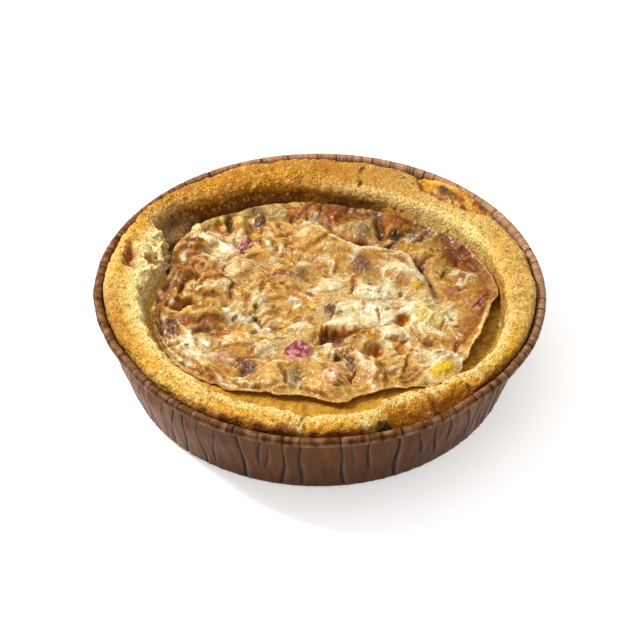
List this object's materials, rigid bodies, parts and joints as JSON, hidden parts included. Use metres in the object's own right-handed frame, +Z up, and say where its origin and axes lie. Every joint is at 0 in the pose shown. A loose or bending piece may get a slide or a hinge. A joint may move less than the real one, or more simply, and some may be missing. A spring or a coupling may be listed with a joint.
{
  "type": "mushroom feta pie",
  "caption": "Whole round savoury pie in a pleated brown paper baking case: cornmeal crust with a rolled rim, browned custard, feta, mushroom and red onion.",
  "frame": {"origin": "middle of the baking case's underside", "axes": "+Z up through the middle of the pie, -Y towards the front"},
  "size_m": [0.18, 0.18, 0.0402],
  "materials": {
    "baking_case": "brown waxed baking paper, pressed into pleats, faintly glossy along the bead",
    "crust": "golden cornmeal pastry, gritty and dry, browner at its edges",
    "filling": "baked custard with a wrinkled, blistered skin that is browned in patches",
    "cheese_spill": "cheese scorched to a brittle orange-brown crust",
    "feta": "melted white cheese, soft and moist with toasted spots",
    "mushroom": "cooked mushroom slices, dark, wrinkled and moist",
    "red_onion": "cooked red onion, moist, magenta at its edges"
  },
  "bodies": {
    "root": {"baking_case": "baking_case", "crust": "crust", "filling": "filling", "cheese_spill": "cheese_spill", "feta_1": "feta", "feta_2": "feta", "feta_3": "feta", "feta_4": "feta", "feta_5": "feta", "mushroom_1": "mushroom", "mushroom_2": "mushroom", "mushroom_3": "mushroom", "mushroom_4": "mushroom", "mushroom_5": "mushroom", "mushroom_6": "mushroom", "mushroom_7": "mushroom", "red_onion_1": "red_onion", "red_onion_2": "red_onion", "red_onion_3": "red_onion"}
  },
  "joints": []
}
